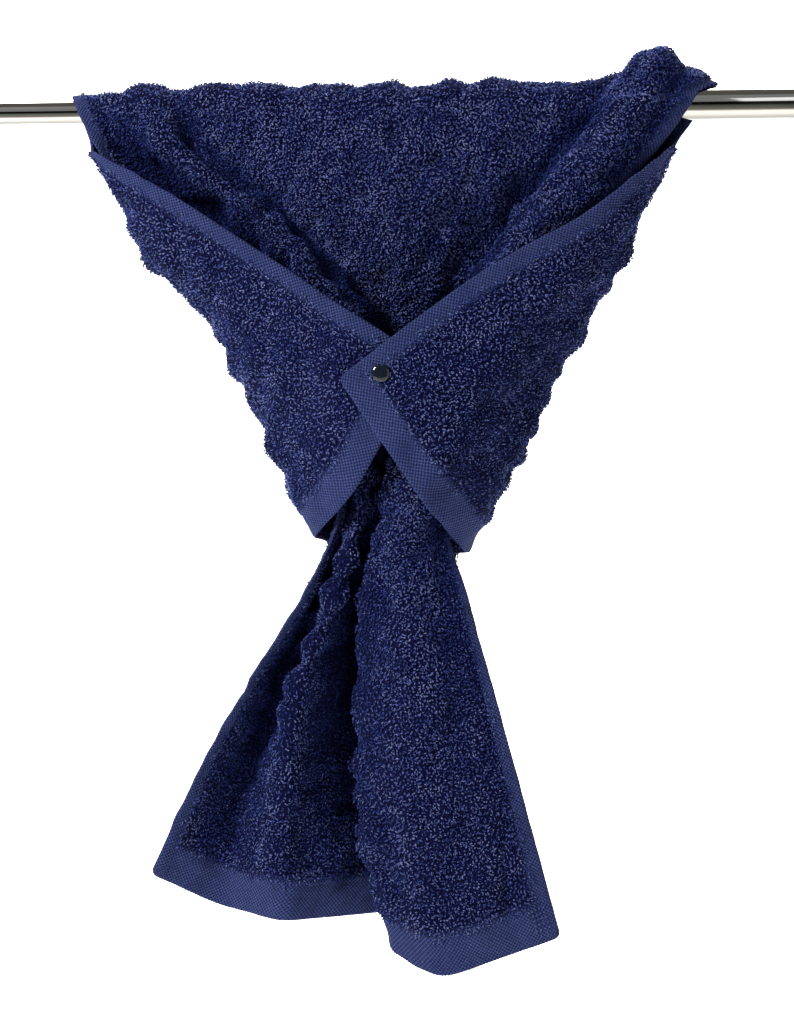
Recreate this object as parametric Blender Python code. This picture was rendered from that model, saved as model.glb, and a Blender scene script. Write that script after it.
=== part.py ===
"""Hand towel of terry cloth on a telescopic rail, its two back corners snapped together in front.

Metres, +Z up, the towel's face towards -Y.  The origin is the centre of the rail's left end face and
the rail runs along +X.  The cloth is one closed solid: a middle surface worked out from two short
tables of folds, given its thickness on both sides.
"""
import math

import bmesh
import bpy
import numpy as np

MM = 0.001

# Rail: a narrow tube that slides into a wide one (mm)
RAIL_LENGTH = 660.0
WIDE_RADIUS = 11.0
NARROW_RADIUS = 8.0
TUBE_WALL = 1.2
BORE_GAP = 0.4
WIDE_TUBE_START = 165.0
NARROW_TUBE_INSERT = 90.0
RAIL_SIDES = 32

# Cloth (mm): lengths are measured along the cloth, from the bottom hem of its long front part
TOWEL_CENTRE_X = 330.0
FRONT_LENGTH = 640.0
OVER_RAIL_LENGTH = 45.0
FLAP_START = 720.0
BEHIND_RAIL_BOW = 6.0
TOWEL_LENGTH = 1000.0
TOWEL_WIDTH = 500.0
PILE_THICKNESS = 4.6
HEM_THICKNESS = 2.6
SIDE_HEM = 10.0
END_HEM = 25.0
HEM_STEP = 7.0
ROUNDING_PASSES = 28
ROW_SAMPLES = 240

# Snap (mm): where its axis passes the flaps, and the flat that it presses round itself
SNAP_X = -5.2
SNAP_Z = -190.0
TOP_FLAP_Y = -57.0
FLAPS_APART = 7.2
PRESSED_RADIUS = 27.0
PRESSED_FADE = 60.0
CAP_RADIUS = 6.2
SOCKET_RADIUS = 5.0
PIN_RADIUS = 1.2
PIN_HOLE = 1.6
SNAP_GAP = 0.3
SNAP_SIDES = 24

# Front part.  Each line runs down the cloth along a fold.  Rows: how far across (x) and how deep
# (y, minus is nearer) the line is at each of DROPS, mm along the cloth below the rail.  The last
# value is the share of its length that it keeps, because small waves take up the rest.
DROPS = (0, 50, 100, 160, 220, 280, 340, 400, 470, 545, 640)
FRONT_LINES = {
    "left edge": (
        (-223, -198, -158, -112, -80, -57, -38, -53, -89, -127, -168),
        (-12, -12, -20, -27, -29, -22, -6, -29, -31, -27, -22), 0.99),
    "left trough": (
        (-206, -180, -138, -95, -64, -45, -33, -47, -78, -104, -124),
        (-12, 9, 25, 36, 38, 30, 18, 8, 12, 10, 0), 1.0),
    "left ridge": (
        (-183, -143, -104, -62, -25, -22, -21, -35, -60, -74, -75),
        (-15, -27, -30, -28, -18, -12, -18, -33, -34, -32, -28), 1.0),
    "valley": (
        (-150, -118, -84, -42, -8, -7, -10, -24, -27, -24, -9),
        (-15, -5, 6, 9, 14, 22, 26, 32, 32, 26, 14), 0.98),
    "back left": (
        (-75, -62, -44, -20, -16, -26, -30, -48, -24, 0, 24),
        (-15, -10, 2, 22, 42, 45, 46, 52, 54, 48, 36), 0.94),
    "middle": (
        (12, 10, 10, 14, 12, 4, 2, 8, 26, 44, 60),
        (-15, -10, 2, 22, 46, 57, 62, 66, 64, 56, 46), 0.93),
    "back right": (
        (143, 119, 92, 66, 56, 45, 42, 46, 58, 70, 80),
        (-15, 2, 20, 32, 38, 36, 34, 38, 38, 36, 30), 0.95),
    "right fold": (
        (150, 115, 86, 52, 17, -4, -13, -25, -30, -30, -6),
        (-17, -18, -14, -12, -10, -14, -20, -24, -24, -22, -14), 1.0),
    "right crest": (
        (180, 146, 111, 75, 44, 25, 15, 10, 13, 20, 33),
        (-24, -33, -32, -28, -24, -26, -34, -44, -44, -42, -36), 1.03),
    "right edge": (
        (208, 177, 142, 100, 70, 52, 37, 52, 71, 91, 116),
        (-14, -13, -15, -22, -25, -20, -5, -24, -26, -22, -16), 1.015),
}
STEEPEST_SLANT = 0.45

# Over the rail: distance of the cloth's middle from the rail's axis at its front, top and back
RAIL_ROW = {
    # x at the top, x at the back, then the distances at the front, the top and the back
    "left edge": (-228, -226, 12, 12, 12),
    "left trough": (-207, -206, 12, 12, 12),
    "left ridge": (-184, -184, 15, 14, 13),
    "valley": (-150, -150, 15, 16.5, 15),
    "back left": (-75, -75, 15, 15, 15),
    "middle": (12, 12, 15, 15, 15),
    "back right": (142, 142, 15, 15, 15),
    "right fold": (153, 152, 17, 21, 16),
    "right crest": (183, 182, 24, 40, 20),
    "right edge": (226, 216, 14, 15, 16),
}

# Back part.  Each line is given at STEPS, shares of the way from where the flaps begin to the end
# hem: x, y and z of each in mm.
STEPS = (0.0, 0.12, 0.26, 0.43, 0.59, 0.72, 0.85, 1.0)
BACK_LINES = {
    "left flap edge": (
        (-210, -181, -148, -108, -71, -41, -10, 26),
        (-18, -31, -36, -38, -40, -41, -42, -42),
        (-32, -48, -67, -93, -117, -138, -158, -181)),
    "left flap": (
        (-215, -190, -164, -124, -93, -72, -52, -25),
        (-6, -18, -24, -28, -31, -34, -37, -39),
        (-32, -59, -90, -123, -164, -192, -228, -270)),
    "left fold": (
        (-213, -196, -178, -136, -112, -93, -78, -56),
        (4, 4, 6, 6, 4, 2, -1, -4),
        (-32, -66, -106, -141, -187, -222, -261, -300)),
    "left shoulder": (
        (-192, -180, -163, -130, -108, -91, -76, -55),
        (18, 34, 44, 46, 44, 42, 38, 36),
        (-30, -66, -106, -144, -190, -226, -264, -303)),
    "back left": (
        (-90, -84, -76, -62, -52, -44, -36, -24),
        (30, 50, 64, 72, 76, 78, 78, 76),
        (-28, -66, -108, -154, -198, -234, -270, -310)),
    "back right": (
        (86, 78, 70, 58, 50, 42, 34, 24),
        (30, 50, 64, 72, 76, 78, 78, 76),
        (-28, -66, -108, -156, -200, -238, -274, -314)),
    "right shoulder": (
        (182, 168, 151, 128, 108, 94, 76, 53),
        (18, 34, 44, 46, 44, 42, 38, 36),
        (-30, -66, -108, -155, -194, -232, -264, -312)),
    "right fold": (
        (194, 177, 158, 135, 111, 97, 75, 50),
        (4, 4, 6, 6, 4, 2, 0, 0),
        (-32, -68, -109, -153, -192, -230, -262, -311)),
    "right flap": (
        (197, 173, 145, 113, 84, 63, 44, 24),
        (-4, -22, -33, -40, -45, -48, -50, -50),
        (-33, -64, -99, -134, -166, -199, -231, -278)),
    "right flap edge": (
        (192, 163, 131, 93, 57, 28, -1, -34),
        (-16, -35, -42, -47, -51, -54, -56, -57),
        (-33, -57, -82, -103, -125, -146, -168, -193)),
}

# Cuts across the cloth between one line and the next, and cuts along each stretch of it
CUTS_BETWEEN_LINES = (3, 4, 5, 4, 7, 9, 5, 4, 4)
FRONT_CUTS = 30
RAIL_CUTS = 8
BEHIND_RAIL_CUTS = 3
BACK_CUTS = 12


def glide(levels, values, at):
    """Cubic curve through the values, its slope at each level taken from the levels beside it."""
    levels = np.asarray(levels, float)
    values = np.asarray(values, float)
    slopes = np.gradient(values, levels, axis=0)
    k = int(np.clip(np.searchsorted(levels, at, side="right") - 1, 0, len(levels) - 2))
    gap = levels[k + 1] - levels[k]
    t = (at - levels[k]) / gap
    return ((2 * t**3 - 3 * t**2 + 1) * values[k] + (t**3 - 2 * t**2 + t) * gap * slopes[k]
            + (3 * t**2 - 2 * t**3) * values[k + 1] + (t**3 - t**2) * gap * slopes[k + 1])


def front_heights():
    """Height of each front line on a 5 mm ladder: the yarn that runs down it keeps its length."""
    ladder = np.arange(0.0, FRONT_LENGTH + 2.5, 5.0)
    heights = {}
    for name, (across, depth, kept) in FRONT_LINES.items():
        x = np.array([glide(DROPS, across, d) for d in ladder])
        y = np.array([glide(DROPS, depth, d) for d in ladder])
        slant = np.gradient(x, ladder)**2 + np.gradient(y, ladder)**2
        fall = np.sqrt(np.maximum(1.0 - slant, STEEPEST_SLANT)) * kept
        steps = (fall[1:] + fall[:-1]) / 2 * np.diff(ladder)
        heights[name] = -np.concatenate(([0.0], np.cumsum(steps)))
    return ladder, heights


LADDER, HEIGHTS = front_heights()


def front_row(drop):
    """Corner points of the weft line that lies `drop` mm below the rail on the front part."""
    return np.array([(glide(DROPS, across, drop), glide(DROPS, depth, drop),
                      np.interp(drop, LADDER, HEIGHTS[name]))
                     for name, (across, depth, kept) in FRONT_LINES.items()])


def rail_row(turn):
    """Corner points of the weft line at `turn` round the rail: 0 is its front, 1 its back."""
    angle = math.pi * turn
    corners = []
    for name, (x_top, x_back, front, top, back) in RAIL_ROW.items():
        x_front = FRONT_LINES[name][0][0]
        side, x_side = (front, x_front) if turn < 0.5 else (back, x_back)
        rise = math.sin(angle)**2
        reach = side + (top - side) * rise
        corners.append((x_side + (x_top - x_side) * rise,
                        -reach * math.cos(angle), reach * math.sin(angle)))
    return np.array(corners)


def back_row(step):
    """Corner points of the weft line at a share of the way down the back part and its flaps."""
    return np.array([[glide(STEPS, values, step) for values in line] for line in BACK_LINES.values()])


def corner_points(length):
    """Corner points of the weft line that lies `length` mm along the cloth from the bottom hem."""
    if length <= FRONT_LENGTH:
        return front_row(FRONT_LENGTH - length)
    turn = (length - FRONT_LENGTH) / OVER_RAIL_LENGTH
    if turn <= 1.0:
        return rail_row(turn)
    step = (length - FLAP_START) / (TOWEL_LENGTH - FLAP_START)
    if step >= 0.0:
        return back_row(step)
    behind_rail = FRONT_LENGTH + OVER_RAIL_LENGTH
    share = (length - behind_rail) / (FLAP_START - behind_rail)
    ease = share * share * (3 - 2 * share)
    clear_of_rail = (0.0, BEHIND_RAIL_BOW * math.sin(math.pi * share), 0.0)
    return rail_row(1.0) * (1 - ease) + back_row(0.0) * ease + clear_of_rail


def snap_hold(points):
    """How firmly the snap holds each point in its plane: 1 near its axis, 0 far from it."""
    away = np.hypot(points[..., 0] - SNAP_X, points[..., 2] - SNAP_Z)
    fade = np.clip((PRESSED_FADE - away) / (PRESSED_FADE - PRESSED_RADIUS), 0.0, 1.0)
    return fade * fade * (3 - 2 * fade) * (points[..., 1] < 0.0)


def pressed_by_snap(line):
    """The line with its points near the snap brought to the planes in which the snap holds it."""
    under = np.arange(len(line)) < len(line) / 2
    plane = TOP_FLAP_Y + np.where(under, FLAPS_APART, 0.0)
    line[:, 1] += (plane - line[:, 1]) * snap_hold(line)
    return line


def arc_shares(points):
    """Share of the whole length at each point of a line."""
    steps = np.linalg.norm(np.diff(points, axis=0), axis=1)
    run = np.concatenate(([0.0], np.cumsum(steps)))
    return run / run[-1]


def rounded(corners):
    """The line through the corner points with its turns rounded and its ends kept."""
    shares = arc_shares(corners)
    even = np.linspace(0.0, 1.0, ROW_SAMPLES)
    line = np.column_stack([np.interp(even, shares, corners[:, k]) for k in range(3)])
    for _ in range(ROUNDING_PASSES):
        line[1:-1] = (line[:-2] + 2 * line[1:-1] + line[2:]) / 4
    return line


def column_shares(corners):
    """Shares of the width at which the cloth is cut, the same number between each two lines."""
    knots = arc_shares(corners)
    shares = [knots[0]]
    for start, end, cuts in zip(knots[:-1], knots[1:], CUTS_BETWEEN_LINES):
        shares.extend(np.linspace(start, end, cuts + 1)[1:])
    return np.array(shares)


def towel_grid():
    """Middle surface of the cloth as a grid of points, and each point's place on the flat cloth."""
    behind_rail = FRONT_LENGTH + OVER_RAIL_LENGTH
    lengths = np.concatenate((
        np.linspace(0.0, FRONT_LENGTH, FRONT_CUTS + 1)[:-1],
        np.linspace(FRONT_LENGTH, behind_rail, RAIL_CUTS + 1)[:-1],
        np.linspace(behind_rail, FLAP_START, BEHIND_RAIL_CUTS + 1)[:-1],
        np.linspace(FLAP_START, TOWEL_LENGTH, BACK_CUTS + 1)))
    rail_shares = column_shares(rail_row(0.0))
    grid, across = [], []
    for length in lengths:
        corners = corner_points(length)
        shares = column_shares(corners) if length < FRONT_LENGTH else rail_shares
        line = rounded(corners)
        if length > FLAP_START:
            line = pressed_by_snap(line)
        run = arc_shares(line)
        grid.append(np.column_stack([np.interp(shares, run, line[:, k]) for k in range(3)]))
        across.append(shares * TOWEL_WIDTH)
    return np.array(grid), np.array(across), lengths


def cloth_thickness(grid, across, along):
    """Thin in the hems and under the snap, full in the pile, with a short step between."""
    inset = np.minimum(np.minimum(across, TOWEL_WIDTH - across) - SIDE_HEM,
                       np.minimum(along, TOWEL_LENGTH - along)[:, None] - END_HEM)
    pile = np.clip(inset / HEM_STEP, 0.0, 1.0)
    on_flaps = (along > FLAP_START)[:, None]
    pile = np.where(on_flaps, np.minimum(pile, 1.0 - snap_hold(grid)), pile)
    return HEM_THICKNESS + (PILE_THICKNESS - HEM_THICKNESS) * pile


def surface_normals(grid):
    """Unit normals of a grid of points."""
    normals = np.cross(np.gradient(grid, axis=1), np.gradient(grid, axis=0))
    return normals / np.linalg.norm(normals, axis=2, keepdims=True)


def give_material(obj, name, colour, roughness, metallic=0.0):
    """A plain Principled material on an object."""
    material = bpy.data.materials.new(name)
    material.use_nodes = True
    shader = material.node_tree.nodes["Principled BSDF"]
    shader.inputs["Base Color"].default_value = (*colour, 1.0)
    shader.inputs["Roughness"].default_value = roughness
    shader.inputs["Metallic"].default_value = metallic
    obj.data.materials.append(material)


def object_from(name, bm):
    """A smooth-shaded object from a bmesh whose faces are turned outwards."""
    bmesh.ops.recalc_face_normals(bm, faces=bm.faces)
    mesh = bpy.data.meshes.new(name)
    bm.to_mesh(mesh)
    bm.free()
    mesh.shade_smooth()
    mesh.set_sharp_from_angle(angle=math.radians(40))
    obj = bpy.data.objects.new(name, mesh)
    bpy.context.collection.objects.link(obj)
    return obj


def make_towel():
    """The whole towel as one closed solid."""
    grid, across, lengths = towel_grid()
    half = cloth_thickness(grid, across, lengths)[..., None] / 2
    normals = surface_normals(grid)
    bm = bmesh.new()
    faces = []
    for side in (1.0, -1.0):
        points = (grid + normals * half * side + (TOWEL_CENTRE_X, 0.0, 0.0)) * MM
        faces.append([[bm.verts.new(p) for p in row] for row in points])
    outer, inner = faces
    rows, columns = grid.shape[:2]
    for j in range(rows - 1):
        for i in range(columns - 1):
            bm.faces.new((outer[j][i], outer[j][i + 1], outer[j + 1][i + 1], outer[j + 1][i]))
            bm.faces.new((inner[j][i], inner[j + 1][i], inner[j + 1][i + 1], inner[j][i + 1]))
    rim = ([(0, i) for i in range(columns)] + [(j, columns - 1) for j in range(1, rows)]
           + [(rows - 1, i) for i in range(columns - 2, -1, -1)] + [(j, 0) for j in range(rows - 2, 0, -1)])
    for (j, i), (n, m) in zip(rim, rim[1:] + rim[:1]):
        bm.faces.new((outer[j][i], inner[j][i], inner[n][m], outer[n][m]))
    towel = object_from("towel", bm)
    give_material(towel, "navy terry cotton", (0.017, 0.023, 0.09), 0.95)
    return towel


def turned(name, profile, sides):
    """A solid turned about X from (along, radius) points: a ring, or closed where radii are zero."""
    bm = bmesh.new()
    rings = []
    for along, radius in profile:
        if radius == 0.0:
            rings.append([bm.verts.new((along * MM, 0.0, 0.0))])
        else:
            angles = [2 * math.pi * k / sides for k in range(sides)]
            rings.append([bm.verts.new((along * MM, radius * math.cos(a) * MM, radius * math.sin(a) * MM))
                          for a in angles])
    if profile[0][1] > 0.0:
        rings.append(rings[0])
    for first, second in zip(rings, rings[1:]):
        for k in range(sides):
            n = (k + 1) % sides
            if len(first) == 1:
                bm.faces.new((first[0], second[k], second[n]))
            elif len(second) == 1:
                bm.faces.new((first[k], second[0], first[n]))
            else:
                bm.faces.new((first[k], second[k], second[n], first[n]))
    return object_from(name, bm)


def make_rail():
    """Two tubes, each closed at its outer end and open where one slides into the other."""
    insert_end = WIDE_TUBE_START + NARROW_TUBE_INSERT
    bore = NARROW_RADIUS + BORE_GAP
    narrow = turned("rail_narrow_tube", [
        (0.0, 0.0), (0.0, NARROW_RADIUS), (insert_end, NARROW_RADIUS),
        (insert_end, NARROW_RADIUS - TUBE_WALL), (TUBE_WALL, NARROW_RADIUS - TUBE_WALL),
        (TUBE_WALL, 0.0)], RAIL_SIDES)
    wide = turned("rail_wide_tube", [
        (RAIL_LENGTH, 0.0), (RAIL_LENGTH, WIDE_RADIUS), (WIDE_TUBE_START, WIDE_RADIUS),
        (WIDE_TUBE_START, bore), (insert_end + 5.0, bore),
        (insert_end + 5.0, WIDE_RADIUS - TUBE_WALL), (RAIL_LENGTH - TUBE_WALL, WIDE_RADIUS - TUBE_WALL),
        (RAIL_LENGTH - TUBE_WALL, 0.0)], RAIL_SIDES)
    for tube in (narrow, wide):
        give_material(tube, "chromed steel", (0.8, 0.8, 0.82), 0.08, 1.0)


def cap_profile(head_start):
    """A domed cap with its pin, whose flattened head begins `head_start` mm behind the cap."""
    return [(-head_start - 0.4, 0.0), (-head_start - 0.4, 2.1), (-head_start, 2.1),
            (-head_start, PIN_RADIUS), (0.0, PIN_RADIUS), (0.0, CAP_RADIUS), (0.9, CAP_RADIUS),
            (1.5, 5.2), (2.0, 3.0), (2.2, 0.0)]


def make_snap():
    """Cap and socket on the top flap, stud and cap on the flap beneath, pressed together."""
    face = HEM_THICKNESS / 2 + SNAP_GAP
    socket = [(-0.8, PIN_HOLE), (-0.8, 3.3), (-2.8, 3.3), (-2.8, SOCKET_RADIUS),
              (0.0, SOCKET_RADIUS), (0.0, PIN_HOLE)]
    stud = [(0.0, PIN_HOLE), (0.0, SOCKET_RADIUS), (0.9, SOCKET_RADIUS), (0.9, 2.9), (2.1, 2.9),
            (2.1, 2.4), (0.9, 2.4), (0.9, PIN_HOLE)]
    head_start = 2 * face + 0.8 + SNAP_GAP
    towards_front = (0.0, 0.0, math.radians(-90))
    towards_back = (0.0, 0.0, math.radians(90))
    pieces = (
        ("snap_front_cap", cap_profile(head_start), TOP_FLAP_Y - face, towards_front),
        ("snap_socket", socket, TOP_FLAP_Y + face, towards_front),
        ("snap_stud", stud, TOP_FLAP_Y + FLAPS_APART - face, towards_front),
        ("snap_back_cap", cap_profile(head_start), TOP_FLAP_Y + FLAPS_APART + face, towards_back),
    )
    for name, profile, y, turn in pieces:
        piece = turned(name, profile, SNAP_SIDES)
        piece.location = ((TOWEL_CENTRE_X + SNAP_X) * MM, y * MM, SNAP_Z * MM)
        piece.rotation_euler = turn
        give_material(piece, name + " plastic", (0.008, 0.010, 0.03), 0.25)


def pierce_for_snap(towel):
    """A round hole through both flaps for the pins of the snap."""
    depth = FLAPS_APART + 3 * PILE_THICKNESS
    cutter = turned("pin_hole_cutter", [(0.0, 0.0), (0.0, PIN_HOLE), (depth, PIN_HOLE), (depth, 0.0)], 12)
    cutter.location = ((TOWEL_CENTRE_X + SNAP_X) * MM, (TOP_FLAP_Y - PILE_THICKNESS) * MM, SNAP_Z * MM)
    cutter.rotation_euler = (0.0, 0.0, math.radians(90))
    cutter.hide_render = True
    cutter.display_type = "WIRE"
    hole = towel.modifiers.new("pin hole", "BOOLEAN")
    hole.object = cutter
    hole.operation = "DIFFERENCE"


for old in list(bpy.data.objects):
    bpy.data.objects.remove(old)
pierce_for_snap(make_towel())
make_rail()
make_snap()
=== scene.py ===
"""Hand towel of navy terry, hung over a telescopic rail with its two back corners snapped in front.

Sizes are worked out in millimetres and put into the meshes in metres, +Z up, the face towards -Y.
"""
import math

import bpy
import numpy as np
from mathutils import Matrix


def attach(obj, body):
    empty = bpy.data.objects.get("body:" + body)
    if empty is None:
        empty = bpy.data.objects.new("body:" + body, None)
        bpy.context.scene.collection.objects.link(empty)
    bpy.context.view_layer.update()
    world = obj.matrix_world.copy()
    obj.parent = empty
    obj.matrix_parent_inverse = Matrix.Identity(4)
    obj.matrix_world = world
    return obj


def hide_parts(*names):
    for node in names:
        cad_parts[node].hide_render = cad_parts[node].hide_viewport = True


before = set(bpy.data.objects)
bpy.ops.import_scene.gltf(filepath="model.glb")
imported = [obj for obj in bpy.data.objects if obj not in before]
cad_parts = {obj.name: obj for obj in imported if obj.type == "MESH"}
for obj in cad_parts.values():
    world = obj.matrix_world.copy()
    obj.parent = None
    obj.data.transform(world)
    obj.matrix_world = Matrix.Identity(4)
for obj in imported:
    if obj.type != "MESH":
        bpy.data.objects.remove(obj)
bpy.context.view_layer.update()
MM = 0.001

# ---------------------------------------------------------------------------------------------
# Ground cloth.  The towel is one woven length, 500 by 1000 mm, whose four sides are left without
# pile, turned over and stitched as flat hems.  Its long front part drops inside the V and opens into
# two legs; its short back part hangs behind the rail and comes round to the front as two flaps.
# ---------------------------------------------------------------------------------------------
CENTRE_X = 330.0
WIDTH = 500.0
LENGTH = 1000.0
FRONT = 640.0
BEHIND = 685.0
FLAPS = 720.0
STEP = 2.5
SIDE_HEM = 10.0
END_HEM = 25.0
NARROW_RADIUS = 8.0
WIDE_RADIUS = 11.0
WIDE_FROM = 165.0

# Lines down the front part: x and y at each drop below the rail, and the share of length kept
DROPS = np.array([0, 50, 100, 160, 220, 280, 340, 400, 470, 545, 640], float)
FRONT_LINES = np.array([
    # left edge
    [(-223, -198, -158, -112, -80, -57, -38, -53, -89, -127, -168),
     (-12, -12, -20, -27, -29, -22, -6, -29, -31, -27, -22)],
    # left trough
    [(-206, -180, -138, -95, -64, -45, -33, -47, -78, -104, -124),
     (-12, 9, 25, 36, 38, 30, 18, 8, 12, 10, 0)],
    # left ridge
    [(-183, -143, -104, -62, -25, -22, -21, -35, -60, -74, -75),
     (-15, -27, -30, -28, -18, -12, -18, -33, -34, -32, -28)],
    # valley
    [(-150, -118, -84, -42, -8, -7, -10, -24, -27, -24, -9),
     (-15, -5, 6, 9, 14, 22, 26, 32, 32, 26, 14)],
    # back left
    [(-75, -62, -44, -20, -16, -26, -30, -48, -24, 0, 24),
     (-15, -10, 2, 22, 42, 45, 46, 52, 54, 48, 36)],
    # middle
    [(12, 10, 10, 14, 12, 4, 2, 8, 26, 44, 60),
     (-15, -10, 2, 22, 46, 57, 62, 66, 64, 56, 46)],
    # back right
    [(143, 119, 92, 66, 56, 45, 42, 46, 58, 70, 80),
     (-15, 2, 20, 32, 38, 36, 34, 38, 38, 36, 30)],
    # right fold
    [(150, 115, 86, 52, 17, -4, -13, -25, -30, -30, -6),
     (-17, -18, -14, -12, -10, -14, -20, -24, -24, -22, -14)],
    # right crest
    [(180, 146, 111, 75, 44, 25, 15, 10, 13, 20, 33),
     (-24, -33, -32, -28, -24, -26, -34, -44, -44, -42, -36)],
    # right edge
    [(208, 177, 142, 100, 70, 52, 37, 52, 71, 91, 116),
     (-14, -13, -15, -22, -25, -20, -5, -24, -26, -22, -16)],
], float)
LENGTH_KEPT = np.array([0.99, 1.0, 1.0, 0.98, 0.94, 0.93, 0.95, 1.0, 1.03, 1.015])

# The same ten lines over the rail: x at the top and the back, then how far from the rail's axis
# the cloth's middle is at the front, the top and the back
RAIL_LINES = np.array([
    (-228, -226, 12, 12, 12), (-207, -206, 12, 12, 12), (-184, -184, 15, 14, 13),
    (-150, -150, 15, 16.5, 15), (-75, -75, 15, 15, 15), (12, 12, 15, 15, 15),
    (142, 142, 15, 15, 15), (153, 152, 17, 21, 16), (183, 182, 24, 40, 20),
    (226, 216, 14, 15, 16)], float)

# Ten lines down the back part and the flaps: x, y and z at shares of the way to the end hem
SHARES = np.array([0.0, 0.12, 0.26, 0.43, 0.59, 0.72, 0.85, 1.0])
BACK_LINES = np.array([
    # left flap edge
    [(-210, -181, -148, -108, -71, -41, -10, 26),
     (-18, -31, -36, -38, -40, -41, -42, -42),
     (-32, -48, -67, -93, -117, -138, -158, -181)],
    # left flap
    [(-215, -190, -164, -124, -93, -72, -52, -25),
     (-6, -18, -24, -28, -31, -34, -37, -39),
     (-32, -59, -90, -123, -164, -192, -228, -270)],
    # left fold
    [(-213, -196, -178, -136, -112, -93, -78, -56),
     (4, 4, 6, 6, 4, 2, -1, -4),
     (-32, -66, -106, -141, -187, -222, -261, -300)],
    # left shoulder
    [(-192, -180, -163, -130, -108, -91, -76, -55),
     (18, 34, 44, 46, 44, 42, 38, 36),
     (-30, -66, -106, -144, -190, -226, -264, -303)],
    # back left
    [(-90, -84, -76, -62, -52, -44, -36, -24),
     (30, 50, 64, 72, 76, 78, 78, 76),
     (-28, -66, -108, -154, -198, -234, -270, -310)],
    # back right
    [(86, 78, 70, 58, 50, 42, 34, 24),
     (30, 50, 64, 72, 76, 78, 78, 76),
     (-28, -66, -108, -156, -200, -238, -274, -314)],
    # right shoulder
    [(182, 168, 151, 128, 108, 94, 76, 53),
     (18, 34, 44, 46, 44, 42, 38, 36),
     (-30, -66, -109, -155, -194, -232, -264, -312)],
    # right fold
    [(194, 177, 158, 135, 111, 97, 75, 50),
     (4, 4, 6, 6, 4, 2, 0, 0),
     (-32, -68, -109, -153, -192, -230, -262, -311)],
    # right flap
    [(197, 173, 145, 113, 84, 63, 44, 24),
     (-4, -22, -33, -40, -45, -48, -50, -50),
     (-33, -64, -99, -134, -166, -199, -231, -278)],
    # right flap edge
    [(192, 163, 131, 93, 57, 28, -1, -34),
     (-16, -35, -42, -47, -51, -54, -56, -57),
     (-33, -57, -82, -103, -125, -146, -168, -193)],
], float)


def glide(levels, values, at):
    """Cubic curve through each row of values, its slope at a level taken from the levels beside it."""
    slopes = np.gradient(values, levels, axis=-1)
    k = np.clip(np.searchsorted(levels, at, side="right") - 1, 0, len(levels) - 2)
    gap = levels[k + 1] - levels[k]
    t = (at - levels[k]) / gap
    return ((2 * t**3 - 3 * t**2 + 1) * values[..., k] + (t**3 - 2 * t**2 + t) * gap * slopes[..., k]
            + (3 * t**2 - 2 * t**3) * values[..., k + 1] + (t**3 - t**2) * gap * slopes[..., k + 1])


def front_corners(drops):
    """The ten lines at each drop.  Yarn keeps its length, so what slants sideways falls less."""
    x, y = glide(DROPS, FRONT_LINES.transpose(1, 0, 2), drops)
    slant = np.gradient(x, drops, axis=1)**2 + np.gradient(y, drops, axis=1)**2
    fall = np.sqrt(np.maximum(1.0 - slant, 0.45)) * LENGTH_KEPT[:, None]
    steps = (fall[:, 1:] + fall[:, :-1]) / 2 * np.diff(drops)
    z = -np.concatenate((np.zeros((10, 1)), np.cumsum(steps, axis=1)), axis=1)
    return np.stack((x, y, z), axis=2).transpose(1, 0, 2)


def rail_corners(turns):
    """The ten lines at each turn round the rail, an arc from its front (0) over it to its back (1)."""
    angle = math.pi * turns[:, None]
    x_top, x_back, front, top, back = RAIL_LINES.T
    before = turns[:, None] < 0.5
    rise = np.sin(angle)**2
    x_side = np.where(before, FRONT_LINES[:, 0, 0], x_back)
    side = np.where(before, front, back)
    reach = side + (top - side) * rise
    return np.stack((x_side + (x_top - x_side) * rise,
                     -reach * np.cos(angle), reach * np.sin(angle)), axis=2)


def back_corners(shares):
    """The ten lines at each share of the way down the back part and its flaps."""
    return glide(SHARES, BACK_LINES, shares).transpose(2, 0, 1)


def evenly_along(lines, samples):
    """Each row's broken line read at even shares of its own length."""
    run = np.cumsum(np.linalg.norm(np.diff(lines, axis=1), axis=2), axis=1)
    run = np.concatenate((np.zeros((len(run), 1)), run), axis=1) / run[:, -1:]
    shares = np.linspace(0.0, 1.0, samples)
    k = (shares[None, :, None] >= run[:, None, 1:-1]).sum(axis=2)
    row = np.arange(len(lines))[:, None]
    t = ((shares - run[row, k]) / (run[row, k + 1] - run[row, k]))[..., None]
    return lines[row, k] * (1 - t) + lines[row, k + 1] * t


SNAP_X = -5.2
SNAP_Z = -190.0
PRESSED_FLAT = 27.0
PRESSED_TO = 60.0
TOP_FLAP_Y = -57.0
FLAPS_APART = 7.2
LINE_POINTS = 240
ROUNDINGS = 28
COLUMNS = 251


def snap_hold(points):
    """How firmly the snap presses each point of the flaps flat: 1 within 27 mm, 0 beyond 60 mm."""
    away = np.hypot(points[..., 0] - SNAP_X, points[..., 2] - SNAP_Z)
    fade = np.clip((PRESSED_TO - away) / (PRESSED_TO - PRESSED_FLAT), 0.0, 1.0)
    return fade * fade * (3 - 2 * fade) * (points[..., 1] < 0.0)


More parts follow.
